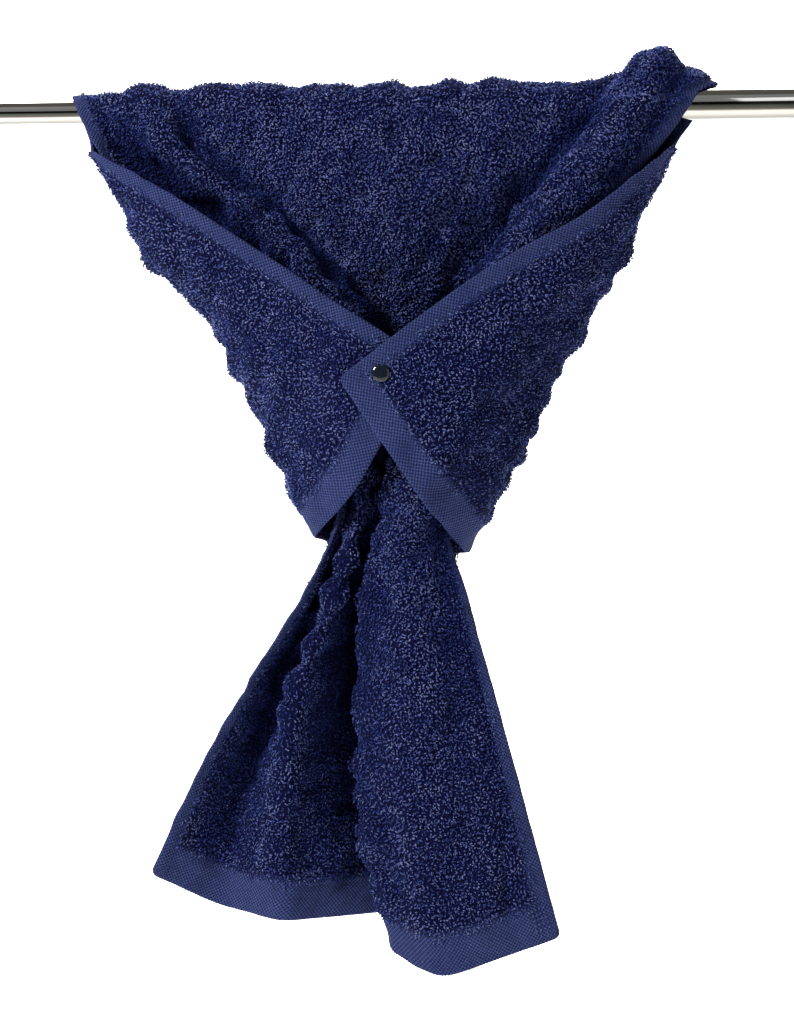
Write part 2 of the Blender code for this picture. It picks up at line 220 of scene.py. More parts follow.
def draped_middle():
    """Middle surface of the cloth at every 2.5 mm of its length.  Each row is the broken line through
    its ten places, rounded by averaging each point with its two neighbours many times."""
    along = np.arange(0.0, LENGTH + 1.0, STEP)
    front = front_corners(np.arange(0.0, FRONT + 1.0, STEP))[::-1]
    over = rail_corners((along[(along > FRONT) & (along <= BEHIND)] - FRONT) / (BEHIND - FRONT))
    share = ((along[(along > BEHIND) & (along < FLAPS)] - BEHIND) / (FLAPS - BEHIND))[:, None, None]
    ease = share * share * (3 - 2 * share)
    bow = np.sin(np.pi * share) * np.array((0.0, 6.0, 0.0))
    start = back_corners(np.array([0.0]))
    behind = rail_corners(np.array([1.0])) * (1 - ease) + start * ease + bow
    back = back_corners((along[along >= FLAPS] - FLAPS) / (LENGTH - FLAPS))
    lines = evenly_along(np.concatenate((front, over, behind, back)), LINE_POINTS)
    for _ in range(ROUNDINGS):
        lines[:, 1:-1] = (lines[:, :-2] + 2 * lines[:, 1:-1] + lines[:, 2:]) / 4
    under = np.arange(LINE_POINTS) < LINE_POINTS // 2
    plane = TOP_FLAP_Y + np.where(under, FLAPS_APART, 0.0)
    pressed = np.where((along > FLAPS)[:, None], snap_hold(lines), 0.0)
    lines[..., 1] += (plane - lines[..., 1]) * pressed
    return evenly_along(lines, COLUMNS), along


def normals_of(grid):
    """Unit normals of a grid of points, towards the side of the cloth that shows."""
    normals = np.cross(np.gradient(grid, axis=1), np.gradient(grid, axis=0))
    return normals / np.linalg.norm(normals, axis=2, keepdims=True)


def waves(x, y, longest, shortest, seed, count=36):
    """Smooth uneven relief of about unit height: many cosines of random direction, length and start."""
    chance = np.random.RandomState(seed)
    turn = chance.uniform(0, 2 * np.pi, count)
    wave = 2 * np.pi / np.exp(chance.uniform(np.log(shortest), np.log(longest), count))
    start = chance.uniform(0, 2 * np.pi, count)
    total = np.zeros(np.broadcast(x, y).shape)
    for a, k, s in zip(turn, wave, start):
        total += np.cos(k * (x * np.cos(a) + y * np.sin(a)) + s)
    return total * math.sqrt(2 / count)


# Main creases in the flat cloth's own millimetres: from (across, along) to (across, along), half
# width, and depth, a trough below zero and a ridge above it
CREASES = (
    # small slanting wrinkles of the left leg, and the trough beside its hem
    (62, 136, 98, 116, 4, -1.7), (68, 124, 108, 100, 4.5, 1.5), (66, 112, 112, 88, 4.5, -1.5),
    (60, 150, 88, 138, 5, 1.2), (34, 250, 40, 120, 10, -3.0), (74, 250, 84, 120, 8, 3.2),
    # narrow crease above the right leg's hem, and its crest
    (480, 86, 468, 30, 4, -2.8), (470, 120, 478, 60, 9, 1.4), (455, 250, 462, 120, 14, 1.2),
    # trough of the right flap below the snap, and two dimples above it
    (488, 962, 398, 916, 10, -3.6), (470, 940, 410, 890, 10, 2.6),
    (459, 874, 452, 862, 8, -2.2), (439, 858, 432, 848, 8, -2.0),
    # left flap
    (40, 880, 90, 960, 11, -2.0), (60, 820, 84, 900, 12, 1.8), (20, 800, 70, 850, 9, -1.2),
    # folds that start on the rail: beside the left ridge, across the V, and at the right fold
    (84, 665, 92, 605, 8, -6.0), (92, 605, 118, 560, 9, -5.0), (118, 560, 172, 470, 10, -3.5),
    (62, 690, 64, 600, 10, 4.0), (68, 640, 78, 560, 9, 2.4), (18, 640, 22, 580, 7, -4.0),
    (150, 640, 190, 560, 14, 1.2), (250, 640, 262, 560, 16, -1.0), (330, 640, 352, 560, 14, 1.2),
    (416, 650, 418, 590, 7, -6.0), (418, 590, 412, 545, 8, -5.0), (436, 650, 438, 560, 7, 2.2),
    (436, 560, 430, 470, 8, 1.8), (452, 684, 457, 620, 8, 5.5), (474, 690, 473, 620, 12, -4.5),
    # both side hems pulled down on the rail
    (500, 690, 500, 640, 12, -2.2), (0, 690, 0, 640, 12, -2.2),
)


def crease_relief(across, along):
    """Sum of the creases: each falls off as a bell curve from its segment."""
    total = np.zeros(np.broadcast(across, along).shape)
    for x0, y0, x1, y1, half, depth in CREASES:
        dx, dy = x1 - x0, y1 - y0
        t = np.clip(((across - x0) * dx + (along - y0) * dy) / (dx * dx + dy * dy), 0.0, 1.0)
        away = np.hypot(across - x0 - t * dx, along - y0 - t * dy)
        total += depth * np.exp(-(away / half)**2)
    return total


# Uneven relief of the cloth, in mm along its normal: long and short waves, flatter near the hems;
# wrinkles over the rail; fine ripples in the hems; the creases; and, where the cloth faces sideways,
# the puckers of its folded edges.  All of it fades out round the snap.
RAIL_AT = 662.0
RAIL_SPREAD = 26.0
SLACK_FROM = 45.0
middle, along_rows = draped_middle()
across_columns = np.linspace(0.0, WIDTH, middle.shape[1])
across_grid, along_grid = np.meshgrid(across_columns, along_rows)
free = 1.0 - np.where(along_grid > FLAPS, snap_hold(middle), 0.0)
over_rail = np.exp(-((along_grid - RAIL_AT) / RAIL_SPREAD)**2)
from_edge = np.minimum(np.minimum(across_grid, WIDTH - across_grid),
                       np.minimum(along_grid, LENGTH - along_grid))
slack = 0.3 + 0.7 * np.clip(from_edge / SLACK_FROM, 0.0, 1.0)
relief = (waves(across_grid, along_grid, 90.0, 24.0, 3) * slack * 1.2
          + waves(across_grid, along_grid, 26.0, 13.0, 8) * slack * 0.45
          + waves(across_grid, along_grid * 0.35, 42.0, 17.0, 5) * over_rail * 1.3
          + waves(across_grid, along_grid, 24.0, 11.0, 9) * (1.0 - slack) * 0.5
          + crease_relief(across_grid, along_grid)) * free
sideways = normals_of(middle)[..., 0]**2 * (slack - 0.3) / 0.7
relief += waves(across_grid * 0.5, along_grid, 36.0, 19.0, 13) * sideways * free * 2.2
middle = middle + normals_of(middle) * relief[..., None]

# The rail keeps the cloth out: its middle comes no nearer to the axis than 1.7 mm outside a tube, and
# the wide tube's end holds it off from 3 mm before it
CLEARANCE = 1.7
on_wide = middle[..., 0] > WIDE_FROM - CENTRE_X - 3.0
held_off = np.where(on_wide, WIDE_RADIUS, NARROW_RADIUS) + CLEARANCE
from_axis = np.maximum(np.hypot(middle[..., 1], middle[..., 2]), 1.0)
middle[..., 1:] *= np.maximum(held_off / from_axis, 1.0)[..., None]
normals = normals_of(middle)


def read_at(field, across, along):
    """A gridded field read between its four nearest points at places on the flat cloth."""
    i = np.clip(across / across_columns[1], 0.0, len(across_columns) - 1.001)
    j = np.clip(along / STEP, 0.0, len(along_rows) - 1.001)
    i0, j0 = i.astype(int), j.astype(int)
    s, t = (i - i0)[..., None], (j - j0)[..., None]
    return ((field[j0, i0] * (1 - s) + field[j0, i0 + 1] * s) * (1 - t)
            + (field[j0 + 1, i0] * (1 - s) + field[j0 + 1, i0 + 1] * s) * t)


def beyond_hems(across, along):
    """How far inside the hems a place on the flat cloth is, in mm; below zero on a hem."""
    return np.minimum(np.minimum(across, WIDTH - across) - SIDE_HEM,
                      np.minimum(along, LENGTH - along) - END_HEM)


def bare_hem(across, along):
    """Width of side hem left bare: pile falls over it where the legs hang from the gathered part."""
    left = np.interp(along, (20.0, 120.0, 300.0, 380.0, 560.0, 640.0), (8.0, 6.0, 4.5, 6.0, 7.5, 8.5))
    right = np.interp(along, (20.0, 90.0, 180.0, 300.0, 420.0, 560.0), (11.0, 8.0, 5.5, 4.0, 7.0, 9.5))
    return np.where(across < WIDTH / 2, left, right)


def bare_end(along):
    """How far a place is inside the bare part of the nearer end hem; on the flaps the pile lies over
    6 mm of that hem."""
    return np.where(along < LENGTH / 2, along - END_HEM, LENGTH - along - END_HEM + 6.0)


def half_thickness(across, along):
    """Half the cloth's thickness without pile: 1.3 mm in the hems of three layers, 0.9 mm inside them,
    a bell-shaped dent along the stitching, 0.35 mm more where two hems cross, a rounded outer edge."""
    inset = beyond_hems(across, along)
    ground = np.clip((inset + 0.6) / 1.6, 0.0, 1.0)
    from_side = np.minimum(across, WIDTH - across)
    from_end = np.minimum(along, LENGTH - along)
    stitched = 0.35 * np.exp(-((inset + 1.6) / 0.8)**2)
    on_side_hem = np.clip((SIDE_HEM - from_side) / 1.5, 0, 1)
    on_end_hem = np.clip((END_HEM - from_end) / 1.5, 0, 1)
    hemmed = 1.3 - stitched + 0.35 * on_side_hem * on_end_hem
    rounded = np.sqrt(np.clip(np.minimum(from_side, from_end) / 1.2, 0.12, 1.0))
    return (hemmed * (1 - ground) + 0.9 * ground) * rounded


def new_piece(name, points, faces, material, smooth=True):
    """An object from points in millimetres and faces of one size, its place in its mesh."""
    sides = faces.shape[1]
    mesh = bpy.data.meshes.new(name)
    mesh.vertices.add(len(points))
    mesh.vertices.foreach_set("co", (points * MM).astype(np.float32).ravel())
    mesh.loops.add(faces.size)
    mesh.loops.foreach_set("vertex_index", faces.astype(np.int32).ravel())
    mesh.polygons.add(len(faces))
    mesh.polygons.foreach_set("loop_start", np.arange(0, faces.size, sides, dtype=np.int32))
    mesh.polygons.foreach_set("use_smooth", np.full(len(faces), smooth))
    mesh.update(calc_edges=True)
    mesh.materials.append(material)
    piece = bpy.data.objects.new(name, mesh)
    bpy.context.collection.objects.link(piece)
    return piece


def linear(colour):
    """An sRGB hex colour as linear red, green, blue and alpha."""
    parts = [int(colour[k:k + 2], 16) / 255 for k in (0, 2, 4)]
    return tuple(c / 12.92 if c <= 0.04045 else ((c + 0.055) / 1.055)**2.4 for c in parts) + (1.0,)


def add_node(tree, kind, inputs=None, **settings):
    """A node with its settings, whose inputs are values or other nodes' outputs."""
    node = tree.nodes.new(kind)
    for key, value in settings.items():
        setattr(node, key, value)
    for key, value in (inputs or {}).items():
        if isinstance(value, bpy.types.NodeSocket):
            tree.links.new(value, node.inputs[key])
        else:
            node.inputs[key].default_value = value
    return node


def new_material(name):
    """A node material with its Principled shader, and the tree that holds it."""
    material = bpy.data.materials.new(name)
    material.use_nodes = True
    return material, material.node_tree, material.node_tree.nodes["Principled BSDF"]


# Ground and hems, cotton dyed navy: dull, the hems a little lighter than the pile's depths because
# nothing shades them, and a little worn in patches.  Their weave shows as slanting ribs that cross in
# small diamonds.  Real ones, of about 0.8 mm, are too fine to show, so these are 2.7 mm apart.
# Scales of noise here are per mm: fuzz of about 0.9 mm, worn patches of about 22 mm.
TWILL = 2.7
turn_per_mm = 2 * math.pi / TWILL
ground_cotton, tree, shader = new_material("navy cotton twill ground")
place = add_node(tree, "ShaderNodeUVMap", uv_map="flat cloth")
flat = add_node(tree, "ShaderNodeSeparateXYZ", {"Vector": place.outputs["UV"]})
ribs = []
for way in ("ADD", "SUBTRACT"):
    slant = add_node(tree, "ShaderNodeMath", {0: flat.outputs["X"], 1: flat.outputs["Y"]}, operation=way)
    rib = add_node(tree, "ShaderNodeMath", {0: slant.outputs[0], 1: turn_per_mm}, operation="MULTIPLY")
    ribs.append(add_node(tree, "ShaderNodeMath", {0: rib.outputs[0]}, operation="SINE"))
weave = add_node(tree, "ShaderNodeMath", {0: ribs[0].outputs[0], 1: ribs[1].outputs[0]}, operation="ADD")
weave = add_node(tree, "ShaderNodeMapRange", {
    "Value": weave.outputs[0], "From Min": -2.0, "From Max": 2.0})
fuzz = add_node(tree, "ShaderNodeTexNoise", {"Vector": place.outputs["UV"], "Scale": 1.1, "Detail": 3.0})
fade = add_node(tree, "ShaderNodeTexNoise", {"Vector": place.outputs["UV"], "Scale": 0.045, "Detail": 2.0})
on_hem = add_node(tree, "ShaderNodeAttribute", attribute_name="hem")
hem_tone = add_node(tree, "ShaderNodeMix", {
    "Factor": weave.outputs[0], "A": linear("000320"), "B": linear("404a7c")}, data_type="RGBA")
worn = add_node(tree, "ShaderNodeMapRange", {
    "Value": fade.outputs["Fac"], "From Min": 0.3, "From Max": 0.7, "To Max": 0.4})
hem_worn = add_node(tree, "ShaderNodeMix", {
    "Factor": worn.outputs[0], "A": hem_tone.outputs["Result"], "B": linear("161e46")},
    data_type="RGBA")
whole = add_node(tree, "ShaderNodeMix", {
    "Factor": on_hem.outputs["Fac"], "A": linear("03062c"), "B": hem_worn.outputs["Result"]},
    data_type="RGBA")
height = add_node(tree, "ShaderNodeMath", {0: weave.outputs[0], 1: fuzz.outputs["Fac"]}, operation="ADD")
bump = add_node(tree, "ShaderNodeBump", {
    "Strength": 1.0, "Distance": 0.0013, "Height": height.outputs[0]})
tree.links.new(whole.outputs["Result"], shader.inputs["Base Color"])
tree.links.new(bump.outputs["Normal"], shader.inputs["Normal"])
shader.inputs["Roughness"].default_value = 0.92
shader.inputs["Specular IOR Level"].default_value = 0.08
shader.inputs["Sheen Weight"].default_value = 0.04
shader.inputs["Sheen Roughness"].default_value = 0.5
shader.inputs["Sheen Tint"].default_value = linear("8c98d8")

# Grid of the ground, close at the edge and where the hems end.  Both faces lie half the cloth's
# thickness from its middle, a strip closes the edge, and each corner's places are drawn inwards on
# circles of 5 mm.
CORNER = 5.0
rim = (0.0, 0.5, 1.4, 3.5, 5.8)
sides = rim + (7.6, 8.4, 9.2, 9.8, 10.4, 11.4)
columns = np.concatenate((sides, np.linspace(15.0, WIDTH - 15.0, 100), WIDTH - np.array(sides)[::-1]))
ends = rim + (9.0, 12.5, 16.0, 19.5, 22.4, 23.3, 24.1, 24.8, 25.5, 27.0)
rows = np.concatenate((ends, np.linspace(31.0, LENGTH - 31.0, 190), LENGTH - np.array(ends)[::-1]))
across, along = np.meshgrid(columns, rows)
near_side = np.clip(1.0 - np.minimum(across, WIDTH - across) / CORNER, 0.0, 1.0)
near_end = np.clip(1.0 - np.minimum(along, LENGTH - along) / CORNER, 0.0, 1.0)
inwards = np.where(across < WIDTH / 2, 1.0, -1.0) * near_side * (1.0 - np.sqrt(1.0 - near_end**2 / 2))
upwards = np.where(along < LENGTH / 2, 1.0, -1.0) * near_end * (1.0 - np.sqrt(1.0 - near_side**2 / 2))
centre = read_at(middle, across + inwards * CORNER, along + upwards * CORNER)
outward = read_at(normals, across, along)
outward /= np.linalg.norm(outward, axis=2, keepdims=True)
outward *= half_thickness(across, along)[..., None]
move = np.array((CENTRE_X, 0.0, 0.0))
points = np.concatenate(((centre + outward).reshape(-1, 3), (centre - outward).reshape(-1, 3)))
index = np.arange(across.size).reshape(across.shape)
quads = np.stack((index[:-1, :-1], index[:-1, 1:], index[1:, 1:], index[1:, :-1]), axis=2).reshape(-1, 4)
border = np.concatenate((index[0, :-1], index[:-1, -1], index[-1, :0:-1], index[:0:-1, 0]))
after = np.roll(border, -1)
edge = np.stack((border, border + across.size, after + across.size, after), axis=1)
faces = np.concatenate((quads, quads[:, ::-1] + across.size, edge))
towel_ground = new_piece("towel_ground", points + move, faces, ground_cotton)
uv = towel_ground.data.uv_layers.new(name="flat cloth")
flat_place = np.stack((np.tile(across.ravel(), 2), np.tile(along.ravel(), 2)), axis=1)
uv.data.foreach_set("uv", flat_place[faces.ravel()].astype(np.float32).ravel())
hem = towel_ground.data.attributes.new("hem", "FLOAT", "POINT")
# The hem's colour ends 2 to 2.5 mm beyond the pile's edge, under its first loops
past_pile = np.minimum(np.minimum(across, WIDTH - across) - bare_hem(across, along) - 2.5,
                       bare_end(along) - 2.0)
hem_share = np.clip(0.5 - past_pile / 1.5, 0.0, 1.0)
hem.data.foreach_set("value", np.tile(hem_share.ravel(), 2).astype(np.float32))
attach(towel_ground, "root")
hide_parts("towel")

# ---------------------------------------------------------------------------------------------
# Pile.  Terry's pile warp stands out of both faces of the ground as loops of soft cotton yarn,
# about 3 to 4.5 mm long and twisted every way by washing, leaning together in small patches.  Real
# ones are closer; these are broader in turn, and sparse on the reverse, which hardly shows.
# ---------------------------------------------------------------------------------------------
PILE_PITCH = 2.05
LOOP_LENGTHS = (2.9, 4.4)
LOOP_WIDTHS = (1.1, 1.45)
LOOP_ANGLES = (12.0, 58.0)
FOLD_REACH = 15


def yarn_lumps(base, tip, normal, width, bend):
    """Closed spindles of six faces from base to tip, thickest past the middle and bent outwards."""
    axis = tip - base
    side = np.cross(axis, normal)
    side /= np.linalg.norm(side, axis=1, keepdims=True)
    up = np.cross(side, axis)
    up /= np.linalg.norm(up, axis=1, keepdims=True)
    waist = base + axis * 0.55 + up * bend[:, None]
    broad = width[:, None] / 2
    corners = np.stack((base, waist + side * broad - up * broad * 0.45,
                        waist - side * broad - up * broad * 0.45, waist + up * broad * 0.85, tip), axis=1)
    pattern = np.array(((1, 2, 4), (2, 3, 4), (3, 1, 4), (2, 1, 0), (3, 2, 0), (1, 3, 0)))
    faces = pattern[None] + 5 * np.arange(len(base))[:, None, None]
    return corners.reshape(-1, 3), faces.reshape(-1, 3)


def depth_in_folds():
    """How deep each place of the front part lies in a fold, 0 to 1: how far its y is behind the most
    forward y within fifteen columns, 30 mm of cloth, to either side; less towards the lower end."""
    nearest = middle[..., 1].copy()
    for shift in range(1, FOLD_REACH + 1):
        nearest[:, shift:] = np.minimum(nearest[:, shift:], middle[:, :-shift, 1])
        nearest[:, :-shift] = np.minimum(nearest[:, :-shift], middle[:, shift:, 1])
    on_front = np.clip(along_grid / 200.0, 0.4, 1.0) * (along_grid < 655.0)
    return np.clip((middle[..., 1] - nearest - 4.0) / 26.0, 0.0, 1.0) * on_front


# Little light gets down to the loops deep in the folds, so their colour is darkened there
sunk = depth_in_folds()


def loops_on(low, high, pitch, side, seed, first):
    """Pile loops over a stretch of the cloth, on its outer (1) or inner (-1) face.  They are strewn
    about a grid, lean every way, much as their neighbours do, and end raggedly at the hems."""
    chance = np.random.RandomState(seed)
    across, along = np.meshgrid(np.arange(first, WIDTH - 3.0, pitch), np.arange(low, high, pitch))
    across = (across + chance.uniform(-0.5, 0.5, across.shape) * pitch).ravel()
    along = (along + chance.uniform(-0.5, 0.5, along.shape) * pitch).ravel()
    ragged = waves(across, along, 30.0, 7.0, seed + 3) * 1.5 + chance.uniform(-0.8, 0.8, len(across))
    inset = np.minimum(np.minimum(across, WIDTH - across) - bare_hem(across, along),
                       bare_end(along) + 0.8)
    kept = (inset > ragged) & (along < high)
    across, along = across[kept], along[kept]
    count = len(across)
    normal = read_at(normals, across, along) * side
    normal /= np.linalg.norm(normal, axis=1, keepdims=True)
    down = read_at(middle, across, along - 1.5) - read_at(middle, across, along + 1.5)
    down -= normal * (down * normal).sum(axis=1)[:, None]
    down /= np.linalg.norm(down, axis=1, keepdims=True)
    right = np.cross(normal, down)
    patch = waves(across, along, 40.0, 9.0, seed + 1) * 1.5
    turn = patch + chance.normal(0.0, 0.75, count)
    rise = np.radians(chance.uniform(*LOOP_ANGLES, count))
    flatwise = right * np.sin(turn)[:, None] + down * np.cos(turn)[:, None]
    lean = flatwise * np.cos(rise)[:, None] + normal * np.sin(rise)[:, None]
    reach = chance.uniform(*LOOP_LENGTHS, count)[:, None]
    surface = half_thickness(across, along)[:, None] + chance.uniform(-0.3, 0.3, count)[:, None]
    base = read_at(middle, across, along) + normal * surface - lean * reach * 0.35
    points, faces = yarn_lumps(base, base + lean * reach, normal, chance.uniform(*LOOP_WIDTHS, count),
                               chance.uniform(0.1, 0.5, count))
    # Painted shade: loops lying deep in the folds of the front part are darker
    shade = 0.5 - 0.5 * read_at(sunk[..., None], across, along)[:, 0] * (side > 0)
    shade += 0.04 * waves(across, along, 70.0, 12.0, seed + 2) + chance.normal(0.0, 0.09, count)
    # Painted shade at each loop's root, painted light along its top and tip
    tone = shade[:, None] + np.array((-0.5, -0.08, -0.08, 0.16, 0.12))
    return points, faces, np.clip(tone, 0.0, 1.0).ravel()


# Cotton loops, dyed navy: matt, with a faint sheen from loose fibres.  Their colour is painted dark
# where they root, as shade among the loops, and paler at their tops and tips, as painted light; deep in
# the folds it holds painted shade too.  Noise of 1400 to the metre gives each loop strands of about 0.7
# mm.
pile_cotton, tree, shader = new_material("navy terry pile cotton")
tone = add_node(tree, "ShaderNodeAttribute", attribute_name="tone")
where = add_node(tree, "ShaderNodeTexCoord")
fibres = add_node(tree, "ShaderNodeTexNoise", {
    "Vector": where.outputs["Object"], "Scale": 1400.0, "Detail": 2.0})
strands = add_node(tree, "ShaderNodeMapRange", {
    "Value": fibres.outputs["Fac"], "From Min": 0.25, "From Max": 0.75,
    "To Min": -0.24, "To Max": 0.24})
speck = add_node(tree, "ShaderNodeMath", {0: tone.outputs["Fac"], 1: strands.outputs[0]}, operation="ADD")
# Tone, with its painted shade and painted light, turned into the loops' colour
dye_and_painted_shade = add_node(tree, "ShaderNodeValToRGB", {"Fac": speck.outputs[0]})
dye_and_painted_shade.color_ramp.elements[0].color = linear("020428")
dye_and_painted_shade.color_ramp.elements[1].color = linear("747aa2")
middle_tone = dye_and_painted_shade.color_ramp.elements.new(0.5)
middle_tone.color = linear("1e2b62")
bump = add_node(tree, "ShaderNodeBump", {
    "Strength": 0.5, "Distance": 0.0002, "Height": fibres.outputs["Fac"]})
tree.links.new(dye_and_painted_shade.outputs["Color"], shader.inputs["Base Color"])
tree.links.new(bump.outputs["Normal"], shader.inputs["Normal"])
shader.inputs["Roughness"].default_value = 0.9
shader.inputs["Specular IOR Level"].default_value = 0.05
shader.inputs["Sheen Weight"].default_value = 0.05
shader.inputs["Sheen Roughness"].default_value = 0.5
shader.inputs["Sheen Tint"].default_value = linear("8c98d8")

PILE_PARTS = (
    # name, from and to along the cloth, spacing, face, seed, and where across the cloth it starts
    ("pile_front_low", END_HEM - 4.0, 260.0, PILE_PITCH, 1, 11, 3.0),
    ("pile_front_middle", 260.0, 500.0, PILE_PITCH, 1, 21, 3.0),
    ("pile_front_top", 500.0, 740.0, PILE_PITCH, 1, 31, 3.0),
    ("pile_on_the_crest", 638.0, 690.0, 1.35, 1, 71, 425.0),
    ("pile_flaps", 740.0, LENGTH - END_HEM + 10.0, PILE_PITCH, 1, 41, 3.0),
    ("pile_reverse_low", END_HEM - 4.0, 340.0, 2.5, -1, 51, 3.0),
    ("pile_reverse_high", 340.0, LENGTH - END_HEM, 8.0, -1, 61, 3.0),
)
for name, low, high, pitch, side, seed, first in PILE_PARTS:
    points, faces, tones = loops_on(low, high, pitch, side, seed, first)
    pile = new_piece(name, points + move, faces, pile_cotton)
    tone = pile.data.attributes.new("tone", "FLOAT", "POINT")
    tone.data.foreach_set("value", tones.astype(np.float32))
    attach(pile, "root")

# ---------------------------------------------------------------------------------------------
# Stitching.  Each hem is held by one row of lockstitch 1.6 mm from its inner fold, polyester thread
# dyed to match, and the front part's lower right corner is made firm by five short rows sewn back
# and forth.  The turned edge of each end hem shows the weft's picks going round it.
# ---------------------------------------------------------------------------------------------
STITCH_PITCH = 3.0
STITCH_IN = 1.6
PICK_PITCH = 2.1


def stitch_row(x0, y0, x1, y1, side, width=0.65):
    """One row of stitches on the outer (1) or inner (-1) face, each a short slanting lump of thread
    from just one side of the row's line to just the other side."""
    length = math.hypot(x1 - x0, y1 - y0)
    starts = np.arange(0.3, length - STITCH_PITCH, STITCH_PITCH)
    dx, dy = (x1 - x0) / length, (y1 - y0) / length
    ends = []
    for start, offset in ((starts, -0.12), (starts + STITCH_PITCH * 0.82, 0.12)):
        across = x0 + dx * start - dy * offset
        along = y0 + dy * start + dx * offset
        normal = read_at(normals, across, along) * side
        lift = half_thickness(across, along)[:, None] + 0.25 * width - 0.1
        ends.append(read_at(middle, across, along) + normal * lift)
    return yarn_lumps(ends[0], ends[1], normal, np.full(len(starts), width),
                      np.full(len(starts), 0.12))


# Polyester thread, dyed to match: smoother than the cotton, and its colour painted a little lighter
# as its sheen.  Noise of 700 to the metre stands for its twist, every 1.4 mm.
thread, tree, shader = new_material("navy polyester sewing thread")
where = add_node(tree, "ShaderNodeTexCoord")
twist = add_node(tree, "ShaderNodeTexNoise", {"Vector": where.outputs["Object"], "Scale": 700.0})
shade = add_node(tree, "ShaderNodeMix", {
    "Factor": twist.outputs["Fac"], "A": linear("18204c"), "B": linear("46518c")}, data_type="RGBA")
tree.links.new(shade.outputs["Result"], shader.inputs["Base Color"])
shader.inputs["Roughness"].default_value = 0.8
shader.inputs["Specular IOR Level"].default_value = 0.1

side_in = SIDE_HEM - STITCH_IN
end_in = END_HEM - STITCH_IN
STITCHED = [
    (side_in, 2.0, side_in, LENGTH - 2.0), (WIDTH - side_in, 2.0, WIDTH - side_in, LENGTH - 2.0),
    (2.0, end_in, WIDTH - 2.0, end_in), (2.0, LENGTH - end_in, WIDTH - 2.0, LENGTH - end_in),
]
CORNER_ROWS = [(483.0, along, 498.0, along) for along in (9.5, 13.0, 16.5, 20.0, 23.5)]


def turned_picks(along):
    """Rounded turns of weft round an end hem's fold, 0.35 mm inside it, which knurl its edge: each a
    lump from one face of the hem to the other."""
    across = np.arange(CORNER, WIDTH - CORNER, PICK_PITCH)
    count = len(across)
    normal = read_at(normals, across, np.full(count, along))
    inner = read_at(middle, across, np.full(count, LENGTH / 2 + (along - LENGTH / 2) * 0.9993))
    sideways = np.cross(normal, np.roll(normal, 1, axis=1))
    return yarn_lumps(inner - normal * 1.1, inner + normal * 1.1, sideways,
                      np.full(count, 2.0), np.zeros(count))


rows_of_thread = [stitch_row(*row, side) for row in STITCHED for side in (1, -1)]
rows_of_thread += [stitch_row(*row, side, 2.2) for row in CORNER_ROWS for side in (1, -1)]
SEWN = (("hem_stitching", rows_of_thread), ("hem_turned_edge", [turned_picks(0.0), turned_picks(LENGTH)]))
for name, lumps in SEWN:
    counts = np.cumsum([0] + [len(points) for points, faces in lumps])
    points = np.concatenate([points for points, faces in lumps])
    faces = np.concatenate([part[1] + count for part, count in zip(lumps, counts)])
    sewn = new_piece(name, points + move, faces, thread)
    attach(sewn, "root")

# ---------------------------------------------------------------------------------------------
# Rail.  Two steel tubes, 16 and 22 mm, one sliding in the other, polished and chromed; the wide
# one's end is rolled in to grip the narrow one, and each outer end is closed by a flat disc.
# ---------------------------------------------------------------------------------------------
CHROME_SIDES = 96


def turned(profile, centre, along_axis, round_axis, third_axis, sides):
    """Surface of revolution: each (along, radius) of a profile carried once round the axis."""
    profile = np.array(profile, float)
    angle = np.linspace(0.0, 2 * np.pi, sides, endpoint=False)
    ring = (np.cos(angle)[:, None] * round_axis + np.sin(angle)[:, None] * third_axis)[None]
    points = centre + profile[:, None, :1] * along_axis + profile[:, None, 1:] * ring
    index = np.arange(len(profile) * sides).reshape(len(profile), sides)
    quads = np.stack((index[:-1], np.roll(index[:-1], -1, axis=1),
                      np.roll(index[1:], -1, axis=1), index[1:]), axis=2)
    return points.reshape(-1, 3), quads.reshape(-1, 4)


# Chrome on polished steel: a mirror, with drawn lines along it and a few smears.  The dark and bright
# bands that a bathroom reflects along such a tube are painted reflection: the tint follows the tube's
# height, 0 at its underside and 1 at its top.  Drawn lines are 1.1 mm apart round the tube, smears about
# 22 mm across.
chrome, tree, shader = new_material("polished chromed steel")
where = add_node(tree, "ShaderNodeTexCoord")
level = add_node(tree, "ShaderNodeAttribute", attribute_name="level")
painted_reflection = add_node(tree, "ShaderNodeValToRGB", {"Fac": level.outputs["Fac"]})
ramp = painted_reflection.color_ramp
# The ramp's colours are painted reflection, from the tube's underside to its top
ramp.elements[0].position, ramp.elements[0].color = 0.0, linear("5a5853")
ramp.elements[1].position, ramp.elements[1].color = 1.0, linear("77746e")
for at, colour in ((0.10, "a9a6a1"), (0.17, "b9b4ac"), (0.22, "4d4a44"), (0.33, "3c3f3a"),
                   (0.38, "15130f"), (0.43, "1c1a17"), (0.46, "e6e6e4"), (0.63, "f0f0ee"),
                   (0.67, "a19b90"), (0.9, "b5b0a6")):
    ramp.elements.new(at).color = linear(colour)
tree.links.new(painted_reflection.outputs["Color"], shader.inputs["Base Color"])
stretched = add_node(tree, "ShaderNodeMapping", {
    "Vector": where.outputs["Object"], "Scale": (6.0, 900.0, 900.0)})
drawn = add_node(tree, "ShaderNodeTexNoise", {
    "Vector": stretched.outputs["Vector"], "Scale": 1.0, "Detail": 2.0})
smears = add_node(tree, "ShaderNodeTexNoise", {
    "Vector": where.outputs["Object"], "Scale": 45.0, "Detail": 3.0})
polish = add_node(tree, "ShaderNodeMapRange", {
    "Value": smears.outputs["Fac"], "To Min": 0.04, "To Max": 0.13})
bump = add_node(tree, "ShaderNodeBump", {
    "Strength": 0.05, "Distance": 0.0001, "Height": drawn.outputs["Fac"]})
tree.links.new(polish.outputs[0], shader.inputs["Roughness"])
tree.links.new(bump.outputs["Normal"], shader.inputs["Normal"])
shader.inputs["Metallic"].default_value = 1.0

